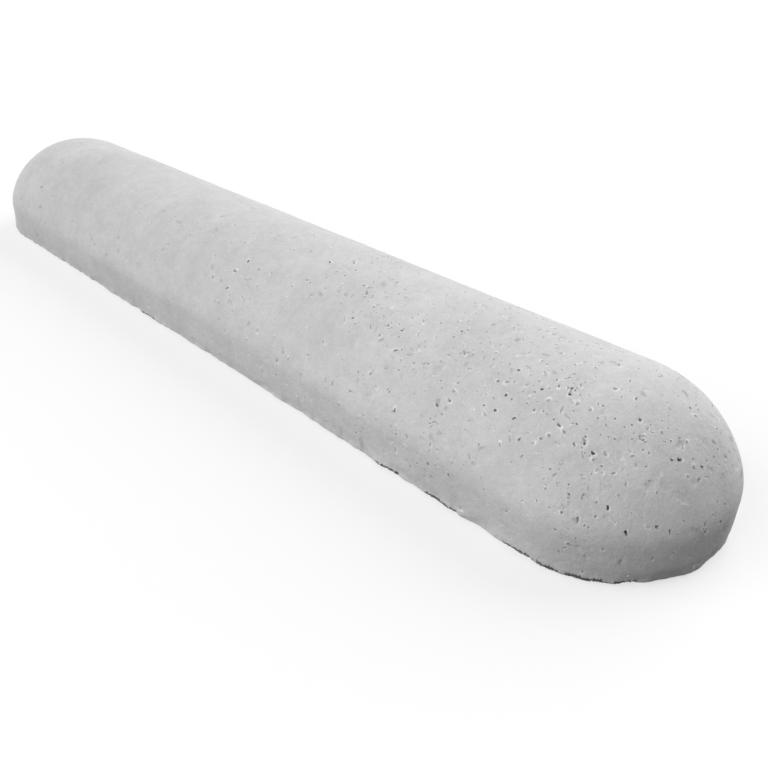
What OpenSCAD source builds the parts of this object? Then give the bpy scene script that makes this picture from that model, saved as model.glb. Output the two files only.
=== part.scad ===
// Concrete kerb stone with rounded noses, lying on its flat bed.
// Its section is a three-centred arch on upright sides, and each nose is that section turned half round.
// X runs along the stone, Z is up, and the origin is the middle of the bed.

/* [Stone] */
// Overall length, from nose to nose
length = 1000; // [400:10:2000]
// Overall width across the bed
width = 190; // [160:5:300]
// Overall height, from the bed to the crown
height = 110; // [90:1:125]

/* [Section] */
// Height of the upright side, from the bed to where the shoulder starts
side_h = 33; // [20:1:50]
// Radius of the shoulder, between the upright side and the crown
shoulder_r = 41; // [20:1:60]
// Radius of the worn arris round the bed
arris_r = 3; // [1:0.5:8]

/* [Hidden] */
$fn = 96;

half_w = width / 2;
// Straight run between the centres of the two noses
run = length - width;
// Rise of the arch above the upright sides
rise = height - side_h;
// Distance of the shoulder's centre from the stone's axis
shoulder_x = half_w - shoulder_r;
// Radius of the crown, which meets both shoulders tangentially
crown_r = (pow(shoulder_x, 2) + pow(rise, 2) - pow(shoulder_r, 2)) / (2 * (rise - shoulder_r));
crown_z = height - crown_r;
// The crown and the shoulder touch on the line through their centres, drawn out here well past the section
draw_out = 5;
join_x = draw_out * shoulder_x;
join_z = crown_z + draw_out * (side_h - crown_z);
// Top of the cut that keeps the crown's half, above any crown
clear_z = join_z + height;

// Half of the stone below the shoulder, with the arris at the bed
module half_foot() {
    translate([0, arris_r]) square([half_w, side_h - arris_r]);
    square([half_w - arris_r, side_h]);
    translate([half_w - arris_r, arris_r]) circle(r = arris_r);
}

module half_shoulder() {
    intersection() {
        translate([shoulder_x, side_h]) circle(r = shoulder_r);
        polygon([[shoulder_x, side_h], [join_x, side_h], [join_x, join_z]]);
    }
}

module half_crown() {
    intersection() {
        translate([0, crown_z]) circle(r = crown_r);
        polygon([[0, side_h], [shoulder_x, side_h], [join_x, join_z], [0, clear_z]]);
    }
}

module half_section() {
    half_foot();
    half_shoulder();
    half_crown();
}

module straight_run() {
    rotate([90, 0, 90])
        linear_extrude(height = run, center = true) {
            half_section();
            mirror([1, 0]) half_section();
        }
}

// One rounded nose, towards +X
module nose() {
    translate([run / 2, 0, 0])
        rotate([0, 0, -90])
            rotate_extrude(angle = 180) half_section();
}

module kerb_stone() {
    color([0.79, 0.79, 0.78]) {
        straight_run();
        nose();
        mirror([1, 0, 0]) nose();
    }
}

kerb_stone();
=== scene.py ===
"""Concrete kerb stone, in metres: its cast skin with pores and a worn arris, and a plain studio round it."""
import math

import bpy
import numpy as np
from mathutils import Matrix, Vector, noise
from mathutils.geometry import delaunay_2d_cdt
from mathutils.kdtree import KDTree


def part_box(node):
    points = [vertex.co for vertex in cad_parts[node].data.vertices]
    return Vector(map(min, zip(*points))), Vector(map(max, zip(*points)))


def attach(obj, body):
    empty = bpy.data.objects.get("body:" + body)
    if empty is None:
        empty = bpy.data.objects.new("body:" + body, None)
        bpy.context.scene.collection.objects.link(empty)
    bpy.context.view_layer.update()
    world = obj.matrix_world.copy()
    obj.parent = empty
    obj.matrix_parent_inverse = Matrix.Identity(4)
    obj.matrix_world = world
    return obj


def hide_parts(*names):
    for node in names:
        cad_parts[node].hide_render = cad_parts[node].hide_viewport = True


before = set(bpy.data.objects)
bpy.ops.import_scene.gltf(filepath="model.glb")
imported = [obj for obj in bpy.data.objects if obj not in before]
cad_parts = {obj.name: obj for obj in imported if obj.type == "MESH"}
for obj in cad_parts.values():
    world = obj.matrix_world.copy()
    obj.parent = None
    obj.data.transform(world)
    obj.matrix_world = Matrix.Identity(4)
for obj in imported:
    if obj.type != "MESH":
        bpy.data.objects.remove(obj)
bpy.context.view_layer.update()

STONE = "kerb_stone"
# Every random value comes from here, in a fixed order
random = np.random.default_rng(20)

# The stone's section, a three-centred arch on upright sides
SIDE_H = 0.033
SHOULDER_R = 0.041
ARRIS_R = 0.003

stone_low, stone_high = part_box(STONE)
HALF_W = (stone_high.y - stone_low.y) / 2
HEIGHT = stone_high.z - stone_low.z
HALF_RUN = (stone_high.x - stone_low.x) / 2 - HALF_W
RISE = HEIGHT - SIDE_H
SHOULDER_X = HALF_W - SHOULDER_R
CROWN_R = (SHOULDER_X**2 + RISE**2 - SHOULDER_R**2) / (2 * (RISE - SHOULDER_R))
CROWN_Z = HEIGHT - CROWN_R
JOIN_ANGLE = math.atan2(SHOULDER_X, SIDE_H - CROWN_Z)
# How far down the section, from the top of the crown, each stretch of it ends
CROWN_END = CROWN_R * JOIN_ANGLE
SHOULDER_END = CROWN_END + SHOULDER_R * (math.pi / 2 - JOIN_ANGLE)
SIDE_END = SHOULDER_END + SIDE_H - ARRIS_R
SKIN_END = SIDE_END + ARRIS_R * math.pi / 2

# The camera: what it aims at, from where, with its azimuth counted from -Y, and its lens
CAMERA_TARGET = Vector((0.1727, 0.0, -0.0065))
CAMERA_AZIMUTH = 45.66
CAMERA_ELEVATION = 32.37
CAMERA_DISTANCE = 0.7367
CAMERA_LENS = 36.53
SENSOR = 36.0
CLIP_START = 0.01
IMAGE_SIDE = 768

# The studio: two large soft lights and an even dim sky
FRONT_LIGHT = {"azimuth": 240, "elevation": 27, "strength": 2.42, "angle": 70}
BACK_LIGHT = {"azimuth": 85, "elevation": 23, "strength": 3.18, "angle": 70}
SKY_STRENGTH = 0.293
# The floor: its grey for the light it throws back, the share of its white that is its own light, half the
# length of its sides, and how far it is under the bed
FLOOR_BOUNCE = 0.05
FLOOR_GLOW = 0.62
FLOOR_HALF = 6.0
FLOOR_DROP = 0.0001


def from_angles(azimuth, elevation):
    """Unit vector at an azimuth from +X and an elevation, in degrees."""
    a, e = math.radians(azimuth), math.radians(elevation)
    return Vector((math.cos(a) * math.cos(e), math.sin(a) * math.cos(e), math.sin(e)))


def place_object(name, data):
    """A new object in the scene."""
    made = bpy.data.objects.new(name, data)
    bpy.context.collection.objects.link(made)
    return made


# The camera comes first, because some pores are placed by pixels of its image
camera_back = from_angles(CAMERA_AZIMUTH - 90, CAMERA_ELEVATION)
camera_turn = camera_back.to_track_quat("Z", "Y")
camera_data = bpy.data.cameras.new("camera")
camera_data.lens = CAMERA_LENS
camera_data.sensor_width = SENSOR
camera_data.clip_start = CLIP_START
camera = place_object("camera", camera_data)
camera.location = CAMERA_TARGET + CAMERA_DISTANCE * camera_back
camera.rotation_euler = camera_turn.to_euler()
bpy.context.scene.camera = camera


# The skin of the stone is drawn on a flat pattern: the spine is its middle line, and the distance from
# the spine is the distance down the section. Flat points are rows of two numbers, and places on the stone
# are rows of three.
def section(down):
    """Radius, height and angle of the normal from the vertical, for distances down the section."""
    stretches = [down < CROWN_END, down < SHOULDER_END, down < SIDE_END]
    angle = np.select(
        stretches,
        [down / CROWN_R, JOIN_ANGLE + (down - CROWN_END) / SHOULDER_R, math.pi / 2],
        math.pi / 2 + (down - SIDE_END) / ARRIS_R,
    )
    centre_r = np.select(stretches, [0.0, SHOULDER_X, HALF_W], HALF_W - ARRIS_R)
    centre_z = np.select(stretches, [CROWN_Z, SIDE_H, SIDE_H + SHOULDER_END - down], ARRIS_R)
    bend = np.select(stretches, [CROWN_R, SHOULDER_R, 0.0], ARRIS_R)
    return centre_r + bend * np.sin(angle), centre_z + bend * np.cos(angle), angle


def split(flat):
    """Nearest points of the spine, distances down and directions of turn of flat points."""
    spine = np.clip(flat[:, 0], -HALF_RUN, HALF_RUN)
    return spine, np.hypot(flat[:, 0] - spine, flat[:, 1]), np.arctan2(flat[:, 1], flat[:, 0] - spine)


def lift(flat):
    """Places of flat points on the smooth stone, their normals, and the directions down, round and out."""
    spine, down, turn = split(flat)
    radius, height, angle = section(down)
    level, steep = np.cos(angle), np.sin(angle)
    east, north = np.cos(turn), np.sin(turn)
    place = np.stack([spine + radius * east, radius * north, height], 1)
    normal = np.stack([steep * east, steep * north, level], 1)
    fall = np.stack([level * east, level * north, -steep], 1)
    outward = np.stack([east, north, np.zeros_like(east)], 1)
    return place, normal, fall, np.cross(normal, fall), outward


def girth(radius):
    """Length once round the stone at that radius."""
    return 4 * HALF_RUN + 2 * math.pi * radius


def flat_ring(down, share, radius):
    """Flat points, that far down and at those shares of the way round, counted at that radius."""
    run, nose = 2 * HALF_RUN, math.pi * radius
    along = share * girth(radius)
    stretches = [along < run, along < run + nose, along < 2 * run + nose]
    spine = np.select(stretches, [HALF_RUN - along, -HALF_RUN, along - run - nose - HALF_RUN], HALF_RUN)
    turned = np.select(stretches, [0.0, (along - run) / radius, math.pi], (along - 2 * run) / radius)
    turn = math.pi / 2 + turned
    return np.stack([spine + down * np.cos(turn), down * np.sin(turn)], 1)


def flatten(place):
    """The flat point of one place on the skin, above the arris."""
    spine = min(max(place.x, -HALF_RUN), HALF_RUN)
    out = Vector((place.x - spine, place.y))
    crown = math.atan2(out.length, place.z - CROWN_Z)
    shoulder = math.atan2(out.length - SHOULDER_X, place.z - SIDE_H)
    if crown < JOIN_ANGLE:
        down = CROWN_R * crown
    elif place.z > SIDE_H:
        down = CROWN_END + SHOULDER_R * (shoulder - JOIN_ANGLE)
    else:
        down = SHOULDER_END + SIDE_H - place.z
    return np.array([spine, 0.0]) + np.array(out.normalized()) * down


def pixel_ray(x, y):
    """The direction in which the camera sees a pixel."""
    focal = CAMERA_LENS / SENSOR * IMAGE_SIDE
    return camera_turn @ Vector((x - IMAGE_SIDE / 2, IMAGE_SIDE / 2 - y, -focal)).normalized()


def at_pixel(x, y):
    """The flat point that the camera sees at a pixel."""
    _, place, _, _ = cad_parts[STONE].ray_cast(camera.location, pixel_ray(x, y))
    return flatten(place)


# How far up the arris from the bed its chips with painted contact shadow are
PAINTED_SHADOW_ABOVE = 0.0037


def arris_at_pixel(x, y):
    """The flat point of the arris next to where the camera sees a pixel on the floor."""
    ray = pixel_ray(x, y)
    ground = camera.location - ray * (camera.location.z / ray.z)
    spine = min(max(ground.x, -HALF_RUN), HALF_RUN)
    out = Vector((ground.x - spine, ground.y)).normalized()
    return np.array([spine, 0.0]) + np.array(out) * (SKIN_END - PAINTED_SHADOW_ABOVE)


def tree_of(points):
    """A search tree of places."""
    tree = KDTree(len(points))
    for i, p in enumerate(points.tolist()):
        tree.insert(p, i)
    tree.balance()
    return tree


def cloud(places, wavelength, shift):
    """Smooth noise from about -1 to 1 at those places."""
    return np.array([noise.noise(p) for p in (places / wavelength + shift).tolist()])


def waves(places, layers):
    """The sum of layers of smooth noise at those places, each with its size, wavelength and shift."""
    return sum(size * cloud(places, wavelength, shift) for size, wavelength, shift in layers)


def smooth_step(low, high, value):
    """0 under low, 1 over high and a smooth rise between them."""
    t = np.clip((value - low) / (high - low), 0.0, 1.0)
    return t * t * (3 - 2 * t)


def at_least(least, share):
    """From least, where the share is 0, to 1, where it is 1."""
    return least + (1 - least) * share


def between(low, high, skew=1.0):
    """A random size from low to high; a larger skew makes large ones rarer."""
    return low + (high - low) * random.uniform() ** skew


def any_turn():
    """A random angle."""
    return random.uniform(0.0, 2 * math.pi)


# Pores, flakes and chips. The rings of points in and round a mark are at these shares of the way to its
# outline, and the points in a ring stray by up to a share of the step between them.
FLOOR_SHARE = 0.5
WALL_SHARE = 0.84
RIM_SHARE = 1.05
PAINTED_HIGHLIGHT_SHARE = 2.1
RING_JITTER = 0.5
# How many radii from its middle the grid gives way to a mark, and how many away nothing of it is left
CLEAR_RADII = 1.6
FAR_RADII = 2.8
# Range of a lobe's size, as a share of its full one, and a painted rim highlight's paleness a quarter turn
# from its middle
LOBE_SIZE = (0.4, 1.0)
PAINTED_HIGHLIGHT_LEAST = 0.15


class Mark:
    """One hollow with an uneven outline, which may be drawn out along its heading, lean to one side of it,
    hold dust and painted shade, darkest where it is deepest, and have a painted highlight on part of its rim.
    Its depth is given as a share of its radius."""

    power = 5.0
    aspect = 1.0
    lean = 0.0
    dust = 0.0
    lip = 0.0

    def __init__(self, flat, lobes, radius, depth, **more):
        self.flat = flat
        self.radius = radius
        self.depth = depth * radius
        self.lobes = [(k, size * between(*LOBE_SIZE), any_turn()) for k, size in lobes]
        self.heading = any_turn()
        self.lip_turn = any_turn()
        for name, value in more.items():
            setattr(self, name, value)

    def outline(self, angle):
        """Distance from the centre to the outline in a direction."""
        a = angle - self.heading
        oval = 1 / np.sqrt((np.cos(a) / self.aspect) ** 2 + np.sin(a) ** 2)
        lobes = sum(size * np.cos(k * angle + phase) for k, size, phase in self.lobes)
        return self.radius * oval * (1 + lobes)

    def reach(self, down, along):
        """Directions of offsets from the centre, and their lengths as shares of the way to the outline."""
        angle = np.arctan2(along, down)
        return angle, np.hypot(down, along) / self.outline(angle)

    def depth_at(self, down, along):
        """Depth at offsets from the centre."""
        angle, share = self.reach(down, along)
        level = 1 - self.lean * (1 - share * np.sin(angle - self.heading)) / 2
        return self.depth * level * np.clip(1 - share**self.power, 0.0, None)

    def lip_at(self, down, along):
        """How pale the painted highlight on the rim is at offsets from the centre."""
        angle, share = self.reach(down, along)
        ring = np.interp(share, [WALL_SHARE, RIM_SHARE, PAINTED_HIGHLIGHT_SHARE], [0.0, 1.0, 0.0])
        return self.lip * ring * np.clip(at_least(PAINTED_HIGHLIGHT_LEAST, np.cos(angle - self.lip_turn)), 0.0, None)

    def directions(self, count):
        """Directions of count points spread round the outline."""
        t = 2 * math.pi * (np.arange(count) + random.uniform(0.0, RING_JITTER, count)) / count
        return self.heading + np.arctan2(np.sin(t), self.aspect * np.cos(t))


# Lobes of an outline: how many, and how far they stand out
ROUND = [(2, 0.25), (3, 0.12)]
UNEVEN = [(2, 0.32), (3, 0.22), (4, 0.12)]

# The marks that stand out, by the pixels at which they are seen
DARK_PORES = [
    (519, 370), (572, 388), (542, 389), (495, 410), (514, 418), (506, 395), (593, 453), (626, 533),
    (657, 527), (570, 394), (672, 460), (680, 460), (702, 467), (353, 318), (248, 261), (608, 508),
    (428, 464),
]
PORES = [
    (531, 375), (559, 386), (580, 395), (498, 381), (507, 382), (527, 385), (529, 398), (534, 410),
    (548, 350), (501, 345), (454, 337), (449, 355), (414, 363), (429, 364), (458, 383), (485, 387),
    (442, 414), (587, 429), (575, 446), (594, 460), (574, 444), (636, 399), (677, 430), (665, 442),
    (653, 433), (649, 453), (657, 493), (649, 528), (603, 550), (501, 515), (484, 490), (538, 451),
    (511, 462), (292, 286), (257, 286), (388, 325), (330, 262), (151, 223), (194, 231), (139, 213),
    (195, 198), (63, 163), (248, 370), (255, 381), (166, 199), (226, 241), (245, 243), (213, 277),
    (212, 335), (232, 311), (225, 331), (257, 331), (542, 361), (549, 388), (549, 400), (559, 425),
    (564, 432), (597, 470), (602, 473), (606, 454), (625, 427), (632, 425), (640, 420), (687, 442),
    (694, 468), (688, 477), (699, 480), (447, 295), (424, 300), (399, 324), (483, 352), (496, 353),
    (435, 374), (448, 475), (705, 524), (585, 441), (597, 502), (527, 326), (549, 517), (482, 305),
]
PINHOLES = [
    (575, 354), (510, 364), (502, 362), (562, 370), (510, 379), (515, 382), (533, 385), (595, 382),
    (586, 382), (589, 395), (512, 399), (527, 403), (598, 404), (603, 406), (622, 397), (630, 381),
    (630, 392), (637, 407), (598, 418), (615, 419), (541, 424), (554, 419), (606, 425), (601, 435),
    (590, 456), (586, 437), (609, 437), (615, 439), (619, 443), (543, 468), (550, 469), (559, 469),
    (602, 466), (592, 474), (678, 396), (651, 425), (662, 421), (646, 442), (632, 439), (671, 441),
    (643, 450), (693, 459), (707, 461), (714, 457), (695, 483), (646, 467), (649, 481), (679, 497),
    (410, 277), (441, 323), (500, 321), (503, 323), (504, 327), (489, 338), (481, 343), (454, 348),
    (425, 341), (425, 347), (402, 349), (393, 358), (441, 361), (477, 367), (498, 373), (477, 391),
    (405, 367), (399, 370), (385, 369), (414, 394), (494, 398), (484, 405), (509, 431), (437, 450),
    (438, 459), (419, 475), (390, 461), (397, 468), (481, 478), (374, 338), (379, 354), (392, 357),
    (318, 350), (370, 427), (356, 426), (344, 432),
]
STREAKS = [
    (485, 306), (514, 328), (495, 333), (468, 321), (345, 319), (368, 302), (341, 286), (243, 284),
    (312, 295), (522, 456), (555, 475), (619, 496), (596, 353), (522, 357), (533, 357), (568, 378),
    (581, 385), (562, 410), (603, 412), (606, 418), (528, 433), (558, 443), (583, 455), (557, 484),
    (652, 414), (645, 495), (632, 513), (390, 268), (385, 281), (406, 318), (418, 348), (492, 366),
    (470, 369), (510, 439), (465, 430), (436, 466),
]
HONEYCOMBS = [(571, 391), (641, 439), (585, 444), (463, 332), (428, 363), (388, 326), (248, 281)]
# Where the arris has chips darkened as painted contact shadow from the floor: the pixels at the ends of each
# stretch of it
PAINTED_SHADOW_STRETCHES = [
    ((380, 465), (399, 475)), ((429, 495), (458, 513)), ((510, 547), (530, 561)), ((542, 565), (556, 571)),
    ((570, 576), (600, 583)), ((616, 584), (634, 584)), ((152, 312), (164, 320)),
]


# Pores come in drifts, which are layers of noise, with more of them on the crown and towards +X. Each range
# goes from where they are fewest to where they are most.
DRIFTS = ((1.0, 0.055, 3.7), (0.6, 0.020, 9.1))
DRIFT_RANGE = (-0.55, 0.75)
DRIFT_LEAST = 0.15
CROWN_RANGE = (0.0, 0.75)
CROWN_LEAST = 0.55
NEAR_RANGE = (-0.30, 0.42)
NEAR_POWER = 1.8
# How many places are tried in a round, for each that is wanted, and how far from the arris they stay
TRIES = 4
CLEAR_OF_ARRIS = 0.006


def pore_weight(flat, even):
    """How likely a pore is at flat points. If even is 1, the two ends are alike."""
    place, normal, _, _, _ = lift(flat)
    drift = at_least(DRIFT_LEAST, smooth_step(*DRIFT_RANGE, waves(place, DRIFTS)))
    crown = at_least(CROWN_LEAST, smooth_step(*CROWN_RANGE, normal[:, 2]))
    near = at_least(even, smooth_step(*NEAR_RANGE, place[:, 0]) ** NEAR_POWER)
    return drift * crown * near


def scatter(count, even):
    """Flat points spread over the skin by pore_weight."""
    found = np.zeros((0, 2))
    tries = TRIES * count
    while len(found) < count:
        down = random.uniform(0.0, SIDE_END - CLEAR_OF_ARRIS, tries)
        radius = np.maximum(section(down)[0], WELD)
        flat = flat_ring(down, random.uniform(0.0, 1.0, tries), radius)
        kept = random.uniform(0.0, girth(HALF_W), tries) < girth(radius) * pore_weight(flat, even)
        found = np.concatenate([found, flat[kept]])
    return found[:count]


def kind_of(lobes, fixed, **ranges):
    """A maker of one kind of mark, with fixed values and with others drawn, in their order, from ranges."""
    def make(flat):
        drawn = {name: between(*limits) for name, limits in ranges.items()}
        return Mark(flat, lobes, **drawn, **fixed)
    return make


# The kinds of mark. The third number of a range makes large values rarer.
pinhole = kind_of(
    ROUND, {"power": 3.0},
    radius=(0.00048, 0.00090, 1.4), dust=(0.25, 1.0, 1.2), depth=(0.5, 1.6), lip=(0.5, 1.0),
)
fine_pinhole = kind_of(
    ROUND, {},
    radius=(0.00022, 0.00038), depth=(0.4, 1.2), dust=(0.1, 0.5),
)
pore = kind_of(
    UNEVEN, {"power": 2.0},
    radius=(0.00072, 0.00130, 1.8), aspect=(1.0, 1.9), depth=(0.3, 0.9), dust=(0.15, 1.0, 1.1),
    lip=(0.5, 1.0),
)
dark_pore = kind_of(
    UNEVEN, {},
    radius=(0.00098, 0.00128), dust=(0.8, 1.0), depth=(1.5, 2.2), aspect=(1.0, 1.4), lip=(0.5, 1.0),
)
pit = kind_of(
    UNEVEN, {},
    radius=(0.0014, 0.0024, 1.8), depth=(0.10, 0.30), aspect=(1.0, 1.8), dust=(0.05, 0.3),
)
streak = kind_of(
    ROUND, {},
    radius=(0.00050, 0.00085), dust=(0.0, 0.43), depth=(0.2, 0.8), aspect=(2.0, 4.5), lip=(0.2, 0.8),
)
# A shallow scar, deeper on one side
flake = kind_of(
    UNEVEN, {"power": 8.0},
    radius=(0.0012, 0.0036, 1.5), depth=(0.10, 0.24), aspect=(1.0, 2.6), lean=(0.6, 1.0),
)
# A bit broken out of the arris, and a notch low on it darkened as painted contact shadow, both drawn out
# along the arris
ALONG_ARRIS = math.pi / 2
chip = kind_of(
    UNEVEN, {"power": 2.0, "heading": ALONG_ARRIS},
    radius=(0.0012, 0.0040, 1.8), aspect=(1.4, 2.8), depth=(0.06, 0.18), dust=(0.0, 0.25),
)
# Chips whose dark tone is painted contact shadow from the floor
painted_shadow_chip = kind_of(
    UNEVEN, {"heading": ALONG_ARRIS},
    radius=(0.0013, 0.0020), aspect=(1.4, 2.6), depth=(0.5, 1.0), dust=(0.8, 1.0),
)

# A winding pore: how many links it has, from the first number to one less than the second, the ranges of
# their sizes, and the step, in radii, and the largest bend from one link to the next
WORM_LINKS = (3, 6)
WORM_RADIUS = (0.00045, 0.00070)
WORM_DEPTH = (0.4, 0.8)
WORM_DUST_AND_PAINTED_SHADE = (0.1, 0.43)
WORM_STEP = 1.5
WORM_BEND = 0.7
# A honeycombed spot: how many pinholes it has, counted in the same way, and how far out they lie
HONEYCOMB_COUNT = (5, 9)
HONEYCOMB_SPREAD = 0.0024
# How many pixels apart the chips with painted contact shadow are, and how far they stray
PAINTED_SHADOW_STEP = 3.0
PAINTED_SHADOW_JITTER = 0.5


def worm(flat):
    """A short winding pore, as a chain of small ones."""
    radius = between(*WORM_RADIUS)
    dust = between(*WORM_DUST_AND_PAINTED_SHADE)
    heading = any_turn()
    for _ in range(random.integers(*WORM_LINKS)):
        yield Mark(flat, ROUND, radius, between(*WORM_DEPTH), dust=dust)
        flat = flat + WORM_STEP * radius * np.array([math.cos(heading), math.sin(heading)])
        heading += random.uniform(-WORM_BEND, WORM_BEND)


def honeycomb(flat):
    """A spot where several pores lie close together."""
    for _ in range(random.integers(*HONEYCOMB_COUNT)):
        yield pinhole(flat + random.normal(0.0, HONEYCOMB_SPREAD, 2))
    yield pore(flat)


def pixels_along(start, end):
    """Pixels at even steps along a stretch of painted contact shadow."""
    start, end = np.array(start), np.array(end)
    count = round(np.hypot(*(end - start)) / PAINTED_SHADOW_STEP) + 1
    return start + np.linspace(0.0, 1.0, count)[:, None] * (end - start)


def painted_shadow_stretch(start, end):
    """A row of chips darkened as painted contact shadow between two pixels."""
    for pixel in pixels_along(start, end):
        yield painted_shadow_chip(arris_at_pixel(*(pixel + random.uniform(-PAINTED_SHADOW_JITTER, PAINTED_SHADOW_JITTER, 2))))


# What is scattered, how many of each, and how even each is between the ends
SPREAD_MARKS = (
    (pinhole, 380, 0.03), (fine_pinhole, 200, 1.0), (pore, 350, 0.06), (pit, 140, 0.10),
    (streak, 130, 0.04), (flake, 600, 0.20),
)
SPREAD_GROUPS = ((worm, 50, 0.04), (honeycomb, 10, 0.02))
# How many chips there are along the arris
CHIP_COUNT = 180
# How far the scattered marks, but for flakes, stay from the placed ones
CLEAR_OF_PLACED = 0.005


def placed_marks():
    """The marks that stand out."""
    for kind, pixels in ((dark_pore, DARK_PORES), (pore, PORES), (pinhole, PINHOLES), (streak, STREAKS)):
        for x, y in pixels:
            yield kind(at_pixel(x, y))
    for x, y in HONEYCOMBS:
        yield from honeycomb(at_pixel(x, y))
    for start, end in PAINTED_SHADOW_STRETCHES:
        yield from painted_shadow_stretch(start, end)


def all_marks():
    """Every mark on the skin: the placed ones, then the scattered ones clear of those."""
    marks = list(placed_marks())
    placed = tree_of(lift(np.array([mark.flat for mark in marks]))[0])
    for kind, count, even in SPREAD_MARKS:
        for flat in scatter(count, even):
            if kind is flake or placed.find(lift(flat[None])[0][0])[2] > CLEAR_OF_PLACED:
                marks.append(kind(flat))
    for kind, count, even in SPREAD_GROUPS:
        for flat in scatter(count, even):
            marks.extend(kind(flat))
    for share in random.uniform(0.0, 1.0, CHIP_COUNT):
        marks.append(chip(flat_ring(SKIN_END - between(0.0, ARRIS_R / 2), np.array([share]), HALF_W)[0]))
    return marks


# Wide soft patches of painted light and shade in the tone: the middle pixel of each, its radius, and the
# share by which it is paler
PAINTED_LIGHT_PATCHES = (
    ((540, 440), 0.060, -0.09), ((664, 508), 0.055, 0.12), ((722, 536), 0.030, -0.12),
    ((555, 558), 0.045, -0.13), ((445, 484), 0.050, -0.11), ((92, 172), 0.130, -0.08),
    ((372, 395), 0.060, 0.05), ((412, 316), 0.060, 0.05),
)
# Painted light on the foot, against the shade next to the floor: the share by which the foot is paler, and up
# to what height
FOOT_PAINTED_LIGHT = 0.10
FOOT_PAINTED_LIGHT_TOP = 0.014


def spot(places, flat, radius):
    """1 at a flat point, falling smoothly to 0 at that distance from it."""
    distance = np.linalg.norm(places - lift(flat[None])[0], axis=1)
    return 1 - smooth_step(0.0, radius, distance)


def painted_light_and_shade(places):
    """How much paler the painted light on the foot and the patches of painted light and shade make the tone
    at those places.
    """
    foot = FOOT_PAINTED_LIGHT * (1 - smooth_step(0.0, FOOT_PAINTED_LIGHT_TOP, places[:, 2]))
    return foot + sum(share * spot(places, at_pixel(*pixel), radius) for pixel, radius, share in PAINTED_LIGHT_PATCHES)


# How far the foot is worn back, and up to what height. There is no wear at the stretches of painted contact
# shadow: the range is of the level distance from them, from where the wear starts to where it is full.
FOOT_WEAR = 0.0012
FOOT_WEAR_TOP = 0.016
FOOT_WEAR_RANGE = (0.002, 0.022)
# What a place is multiplied by to leave out its height
LEVEL = np.array([1.0, 1.0, 0.0])
# Where the foot is worn back more: the middle pixel of each place, its radius, and how far it is worn
WORN_PLACES = (((610, 583), 0.045, 0.0010), ((650, 582), 0.038, 0.0022), ((702, 565), 0.032, 0.0008))


def wear(places):
    """How far the foot is worn back at those places."""
    painted_shadow_spots = [arris_at_pixel(*pixel) for ends in PAINTED_SHADOW_STRETCHES for pixel in pixels_along(*ends)]
    tree = tree_of(lift(np.array(painted_shadow_spots))[0] * LEVEL)
    gap = np.array([tree.find(p)[2] for p in (places * LEVEL).tolist()])
    worn = FOOT_WEAR * smooth_step(*FOOT_WEAR_RANGE, gap)
    for pixel, radius, depth in WORN_PLACES:
        worn += depth * spot(places, arris_at_pixel(*pixel), radius)
    return worn


# The mesh: a skin on the flat pattern, and the bed under it. A step is the distance between points, a
# jitter is a share of it, and the rows of the arris are at those distances up from the bed.
BASE_STEP = 0.0045
BASE_JITTER = 0.22
ARRIS_STEP = 0.0023
ARRIS_ROWS = [0.0, 0.0016, 0.0032, 0.0047, 0.0065, 0.0086, 0.0112, 0.0142]
BED_STEP = 0.0085
# The step along the rim of a mark, and the least and the most points of a rim
RIM_STEP = 0.0006
RIM_LEAST = 6
RIM_MOST = 14
# A mark with a larger radius has points on its floor too
WIDE_RADIUS = 2 * RIM_STEP
# Points nearer than this are one, and no radius is taken as smaller
WELD = 0.00004
# Unevenness, as layers of noise, of the whole skin and of the arris. That of the arris is full up to the
# first height of the range, and gone at the second.
SKIN_WAVES = ((0.00050, 0.110, 0.3), (0.00022, 0.034, 5.2))
ARRIS_WAVES = ((0.00105, 0.024, 7.7), (0.00105, 0.009, 2.9))
ARRIS_WAVES_RANGE = (0.002, 0.014)
# How far the foot spreads at the -X end, and up to what height
SPREAD = 0.0036
SPREAD_TOP = 0.030
# The short steps, down and along, over which slopes are measured
SLOPE_STEP = 0.00003
SLOPE_STEPS = ((0, 0), (1, 0), (-1, 0), (0, 1), (0, -1))


def hex_grid(half_x, half_y, step):
    """Points of a jittered triangular grid over a rectangle round the origin."""
    rows = np.arange(-half_y, half_y, step * math.sqrt(3) / 2)
    x, y = np.meshgrid(np.arange(-half_x, half_x, step), rows)
    x = x + (np.arange(len(rows)) % 2)[:, None] * step / 2
    grid = np.stack([x.ravel(), y.ravel()], 1)
    return grid + random.uniform(-BASE_JITTER, BASE_JITTER, grid.shape) * step


def mark_points(mark):
    """Flat points that a mark needs: its middle, rim and wall, and the edge of a painted rim highlight and of
    a wide floor.
    """
    rim_length = 2 * math.pi * mark.radius * math.sqrt(mark.aspect)
    rim_count = int(np.clip(round(rim_length / RIM_STEP), RIM_LEAST, RIM_MOST))
    rings = [(RIM_SHARE, rim_count), (WALL_SHARE, rim_count - 1)]
    if mark.lip > 0:
        rings.append((PAINTED_HIGHLIGHT_SHARE, rim_count))
    if mark.radius > WIDE_RADIUS:
        rings.append((FLOOR_SHARE, rim_count // 2))
    _, down, turn = (row[0] for row in split(mark.flat[None]))
    fall = np.array([math.cos(turn), math.sin(turn)])
    along = np.array([-fall[1], fall[0]])
    # On a nose, a ring of the flat pattern is longer than the same ring of the stone
    stretch = 1.0 if abs(mark.flat[0]) < HALF_RUN else down / max(section(np.array([down]))[0][0], WELD)
    points = [mark.flat[None]]
    for share, count in rings:
        angle = mark.directions(count)
        reach = share * mark.outline(angle)
        across = stretch * reach * np.sin(angle)
        points.append(mark.flat + np.outer(reach * np.cos(angle), fall) + np.outer(across, along))
    return np.concatenate(points)


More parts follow.
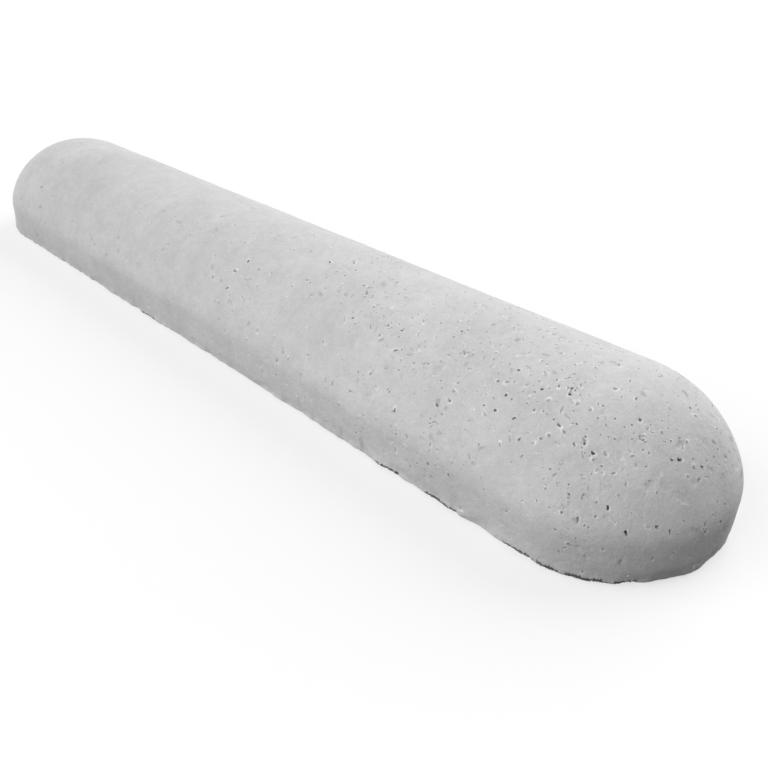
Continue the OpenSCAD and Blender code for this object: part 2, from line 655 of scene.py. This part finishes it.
def skin_points(marks):
    """Flat points of the skin, with the ring at the bed first, and the number of points in the ring."""
    ring_count = round(girth(HALF_W) / ARRIS_STEP)
    rows = []
    for k, above in enumerate(ARRIS_ROWS):
        share = (np.arange(ring_count) + 0.5 * (k % 2)) / ring_count
        rows.append(flat_ring(SKIN_END - above, share, HALF_W))
    grid = hex_grid(HALF_RUN + SKIN_END, SKIN_END, BASE_STEP)
    grid = grid[split(grid)[1] < SKIN_END - ARRIS_ROWS[-1] - BASE_STEP / 2]
    tree = tree_of(np.pad(grid, ((0, 0), (0, 1))))
    buried = np.zeros(len(grid), bool)
    for mark in marks:
        near = tree.find_range((*mark.flat, 0.0), CLEAR_RADII * mark.radius)
        buried[[i for _, i, _ in near]] = True
    details = np.concatenate([mark_points(mark) for mark in marks])
    details = details[split(details)[1] < SKIN_END - ARRIS_ROWS[1] / 2]
    return np.concatenate(rows + [grid[~buried], details]), ring_count


def triangulate(points, ring_count):
    """Points and triangles inside the ring that the first points make, and the ring's points among them."""
    ring = list(range(ring_count))
    vertices, _, faces, sources, _, _ = delaunay_2d_cdt([Vector(p) for p in points], [], [ring], 1, WELD)
    went = {source: i for i, merged in enumerate(sources) for source in merged}
    return np.array([tuple(v) for v in vertices]), [tuple(f) for f in faces], [went[i] for i in ring]


def waviness(places):
    """Slow unevenness of the cast skin, with a rougher line along the arris, and a foot that is worn back but
    spreads at the -X end."""
    height = places[:, 2]
    low_edge = 1 - smooth_step(*ARRIS_WAVES_RANGE, height)
    far = smooth_step(HALF_RUN, HALF_RUN + HALF_W / 2, -places[:, 0])
    spread = SPREAD * far * (1 - smooth_step(0.0, SPREAD_TOP, height))
    worn = np.zeros(len(places))
    foot = height < FOOT_WEAR_TOP
    worn[foot] = wear(places[foot]) * (1 - smooth_step(0.0, FOOT_WEAR_TOP, height[foot]))
    return waves(places, SKIN_WAVES) + low_edge * waves(places, ARRIS_WAVES) + spread - (1 - far) * worn


def relief(place, fall, along, marks):
    """How far the real skin is over the smooth one, at each vertex and a short step to four sides of it, and
    the values at each vertex that the tone depends on."""
    steps = [place + SLOPE_STEP * (a * fall + b * along) for a, b in SLOPE_STEPS]
    raised = np.stack([waviness(p) for p in steps])
    dug = np.zeros_like(raised)
    dust = np.zeros(len(place))
    lip = np.zeros(len(place))
    tree = tree_of(place)
    centres, _, falls, alongs, _ = lift(np.array([m.flat for m in marks]))
    for mark, centre, mark_fall, mark_along in zip(marks, centres, falls, alongs):
        near = [i for _, i, _ in tree.find_range(centre, FAR_RADII * mark.radius * mark.aspect)]
        offset = place[near] - centre
        down, side = offset @ mark_fall, offset @ mark_along
        for row, (a, b) in enumerate(SLOPE_STEPS):
            deep = mark.depth_at(down + a * SLOPE_STEP, side + b * SLOPE_STEP)
            dug[row, near] = np.maximum(dug[row, near], deep)
        # Dust and painted shade, darkest at the deepest point of each hollow
        dust[near] = np.maximum(dust[near], mark.dust * mark.depth_at(down, side) / mark.depth)
        # Painted highlight on part of each rim
        lip[near] = np.maximum(lip[near], mark.lip_at(down, side))
    return raised - dug, {"dust": dust, "lip": lip, "painted_light_and_shade": painted_light_and_shade(place)}


def skin(marks):
    """Places, normals and triangles of the skin, its ring at the bed, and the values on its vertices."""
    flat, triangles, ring = triangulate(*skin_points(marks))
    place, normal, fall, along, outward = lift(flat)
    raised, values = relief(place, fall, along, marks)
    slope_down = (raised[1] - raised[2]) / (2 * SLOPE_STEP)
    slope_along = (raised[3] - raised[4]) / (2 * SLOPE_STEP)
    shading = normal - slope_down[:, None] * fall - slope_along[:, None] * along
    shading /= np.linalg.norm(shading, axis=1)[:, None]
    push = np.where(normal[:, 2:] < 0, outward, normal)
    return place + raised[0][:, None] * push, shading, triangles, ring, values


def stone():
    """The kerb stone as one closed mesh."""
    place, shading, triangles, ring, values = skin(all_marks())
    grid = hex_grid(HALF_RUN + HALF_W, HALF_W, BED_STEP)
    grid = grid[split(grid)[1] < HALF_W - ARRIS_R - BED_STEP]
    bed, bed_triangles, bed_ring = triangulate(np.concatenate([place[ring, :2], grid]), len(ring))
    vertex = np.full(len(bed), -1)
    vertex[bed_ring] = ring
    inside = vertex < 0
    extra = inside.sum()
    vertex[inside] = len(place) + np.arange(extra)
    faces = triangles + [tuple(vertex[list(reversed(t))]) for t in bed_triangles]
    place = np.concatenate([place, np.pad(bed[inside], ((0, 0), (0, 1)))])
    shading = np.concatenate([shading, np.tile([0.0, 0.0, -1.0], (extra, 1))])

    mesh = bpy.data.meshes.new(STONE + "_cast")
    mesh.from_pydata(place.tolist(), [], faces)
    mesh.shade_smooth()
    mesh.normals_split_custom_set_from_vertices(shading.tolist())
    for name, row in values.items():
        mesh.attributes.new(name, "FLOAT", "POINT").data.foreach_set("value", np.pad(row, (0, extra)))
    mesh.materials.append(concrete())
    return place_object(STONE + "_cast", mesh)


# Materials
def add(tree, kind, settings=None, **inputs):
    """A new node. An input is named by its socket, with _ for a space, or by its number after an i, and it is
    set to a value or linked to an output."""
    made = tree.nodes.new(kind)
    for name, value in (settings or {}).items():
        setattr(made, name, value)
    for name, value in inputs.items():
        key = int(name[1:]) if name[1:].isdigit() else name.replace("_", " ")
        if isinstance(value, bpy.types.NodeSocket):
            tree.links.new(value, made.inputs[key])
        else:
            made.inputs[key].default_value = value
    return made


def calculate(tree, operation, a, b):
    """One step of arithmetic on two values."""
    return add(tree, "ShaderNodeMath", {"operation": operation}, i0=a, i1=b).outputs[0]


def remap(tree, value, low, high, to_low=0.0, to_high=1.0, kind="SMOOTHSTEP"):
    """A value moved from one range to another."""
    ranges = {"From_Min": low, "From_Max": high, "To_Min": to_low, "To_Max": to_high}
    return add(tree, "ShaderNodeMapRange", {"interpolation_type": kind}, Value=value, **ranges).outputs[0]


def grey(tree, value):
    """A grey of that value."""
    return add(tree, "ShaderNodeCombineColor", Red=value, Green=value, Blue=value).outputs[0]


# The concrete's tone, and how dull it is
CONCRETE_TONE = 0.62
CONCRETE_ROUGHNESS = 0.92
CONCRETE_SPECULAR = 0.25
# How rough its noise is, and the range of it that the tone uses
NOISE_ROUGHNESS = 0.55
NOISE_RANGE = (0.3, 0.7)
# Each layer of tone: cells a metre, detail, and the share by which it lightens and darkens
TONE_LAYERS = ((8.0, 3.0, 0.030), (34.0, 4.0, 0.045), (120.0, 4.0, 0.045), (700.0, 2.0, 0.060))
# Each layer of grains: cells a metre, the share of cells with one, its largest radius in cells, its tone
GRAIN_LAYERS = ((480.0, 0.10, 0.34, 1.15), (430.0, 0.012, 0.30, 1.40), (520.0, 0.07, 0.26, 0.84))
# Pinholes too small for the mesh, in the same way, their tone being painted shade in the holes, and their
# depth in millimetres
PINHOLE_LAYER = (330.0, 0.14, 0.16, 0.76)
PINHOLE_DEPTH = 0.30
# How wide the soft edge of a grain or a pinhole is, as a share of its largest radius
SPOT_EDGE = 0.25
# Each layer of fine relief: cells a metre, detail, and its height in millimetres
RELIEF_LAYERS = ((230.0, 4.0, 0.50), (650.0, 3.0, 0.20), (1500.0, 2.0, 0.07))
MILLIMETRE = 0.001
# Tone of the dust and painted shade in the hollows and of the painted highlights on their rims, against the
# concrete's own
DUST_AND_PAINTED_SHADE_TONE = 0.12
PAINTED_HIGHLIGHT_TONE = 1.55


def concrete():
    """Pale grey cast concrete: cloudy tone, light and dark grains, pinholes with painted shade in them, dust
    and painted shade in the pores, painted highlights on their rims, and painted light and shade on the foot
    and in wide patches.
    """
    material = bpy.data.materials.new("concrete")
    material.use_nodes = True
    tree = material.node_tree
    shader = tree.nodes["Principled BSDF"]
    where = add(tree, "ShaderNodeTexCoord").outputs["Object"]

    def cloudy(scale, detail):
        """Soft noise, about 0.5."""
        inputs = {"Scale": scale, "Detail": detail, "Roughness": NOISE_ROUGHNESS}
        return add(tree, "ShaderNodeTexNoise", Vector=where, **inputs).outputs["Fac"]

    def spots(scale, chance, size):
        """1 in round spots of up to that size, in that share of the cells, and 0 elsewhere."""
        cells = add(tree, "ShaderNodeTexVoronoi", Vector=where, Scale=scale).outputs
        pick = add(tree, "ShaderNodeSeparateColor", Color=cells["Color"]).outputs[0]
        radius = remap(tree, pick, 1 - chance, 1.0, 0.0, size, "LINEAR")
        return remap(tree, calculate(tree, "SUBTRACT", radius, cells["Distance"]), 0.0, SPOT_EDGE * size)

    def value_of(name):
        """A value that is kept on the vertices."""
        return add(tree, "ShaderNodeAttribute", {"attribute_name": name}).outputs["Fac"]

    tone = CONCRETE_TONE
    for scale, detail, share in TONE_LAYERS:
        layer = remap(tree, cloudy(scale, detail), *NOISE_RANGE, 1 - share, 1 + share, "LINEAR")
        tone = calculate(tree, "MULTIPLY", layer, tone)
    # The tone of these pinholes is painted shade
    pinholes = spots(*PINHOLE_LAYER[:3])
    tints = [(spots(*layer[:3]), layer[3]) for layer in GRAIN_LAYERS]
    # Tints: painted shade in the small pinholes, painted highlights on the rims, and dust and painted shade
    # in the hollows
    tints += [(pinholes, PINHOLE_LAYER[3]), (value_of("lip"), PAINTED_HIGHLIGHT_TONE), (value_of("dust"), DUST_AND_PAINTED_SHADE_TONE)]
    # Painted light and shade: a paler foot, and wide patches that are paler or darker
    tone = calculate(tree, "MULTIPLY", tone, calculate(tree, "ADD", value_of("painted_light_and_shade"), 1.0))
    for amount, factor in tints:
        tone = calculate(tree, "MULTIPLY", tone, remap(tree, amount, 0.0, 1.0, 1.0, factor, "LINEAR"))
    tree.links.new(grey(tree, tone), shader.inputs["Base Color"])
    shader.inputs["Roughness"].default_value = CONCRETE_ROUGHNESS
    shader.inputs["Specular IOR Level"].default_value = CONCRETE_SPECULAR

    height = calculate(tree, "MULTIPLY", pinholes, -PINHOLE_DEPTH)
    for scale, detail, size in RELIEF_LAYERS:
        height = calculate(tree, "ADD", height, calculate(tree, "MULTIPLY", cloudy(scale, detail), size))
    bump = add(tree, "ShaderNodeBump", Strength=1.0, Distance=MILLIMETRE, Height=height)
    tree.links.new(bump.outputs[0], shader.inputs["Normal"])
    return material


def seen(tree):
    """1 for what the camera sees, directly or by a mirror or glass."""
    path = add(tree, "ShaderNodeLightPath").outputs
    mirrored = calculate(tree, "MAXIMUM", path["Is Glossy Ray"], path["Is Transmission Ray"])
    return calculate(tree, "MAXIMUM", path["Is Camera Ray"], mirrored)


def floor():
    """White where it is seen, with the stone's shadow on it, and a grey for the light it throws back."""
    material = bpy.data.materials.new("floor_white")
    material.use_nodes = True
    tree = material.node_tree
    tree.nodes.clear()
    shown = seen(tree)
    colour = grey(tree, remap(tree, shown, 0.0, 1.0, FLOOR_BOUNCE, 1.0, "LINEAR"))
    matte = add(tree, "ShaderNodeBsdfDiffuse", Color=colour).outputs[0]
    glow = add(tree, "ShaderNodeEmission", Strength=1.0).outputs[0]
    glowing = calculate(tree, "MULTIPLY", shown, FLOOR_GLOW)
    surface = add(tree, "ShaderNodeMixShader", i0=glowing, i1=matte, i2=glow)
    add(tree, "ShaderNodeOutputMaterial", Surface=surface.outputs[0])
    mesh = bpy.data.meshes.new("floor")
    signs = ((-1, -1), (1, -1), (1, 1), (-1, 1))
    corners = [(x * FLOOR_HALF, y * FLOOR_HALF, -FLOOR_DROP) for x, y in signs]
    mesh.from_pydata(corners, [], [(0, 1, 2, 3)])
    mesh.materials.append(material)
    place_object("floor", mesh)


def soft_light(name, azimuth, elevation, strength, angle):
    """A large distant light that comes from a direction."""
    lamp = bpy.data.lights.new(name, "SUN")
    lamp.energy = strength
    lamp.angle = math.radians(angle)
    turn = from_angles(azimuth, elevation).to_track_quat("Z", "Y")
    place_object(name, lamp).rotation_euler = turn.to_euler()


def sky():
    """An even dim sky, which the camera sees as white."""
    world = bpy.data.worlds.new("studio")
    bpy.context.scene.world = world
    world.use_nodes = True
    tree = world.node_tree
    tree.nodes.clear()
    strength = remap(tree, seen(tree), 0.0, 1.0, SKY_STRENGTH, 1.0, "LINEAR")
    light = add(tree, "ShaderNodeBackground", Color=(1.0, 1.0, 1.0, 1.0), Strength=strength)
    add(tree, "ShaderNodeOutputWorld", Surface=light.outputs[0])


floor()
sky()
soft_light("front_light", **FRONT_LIGHT)
soft_light("back_light", **BACK_LIGHT)

kerb = stone()
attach(kerb, "root")
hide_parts(STONE)

bpy.context.scene.view_settings.view_transform = "Standard"
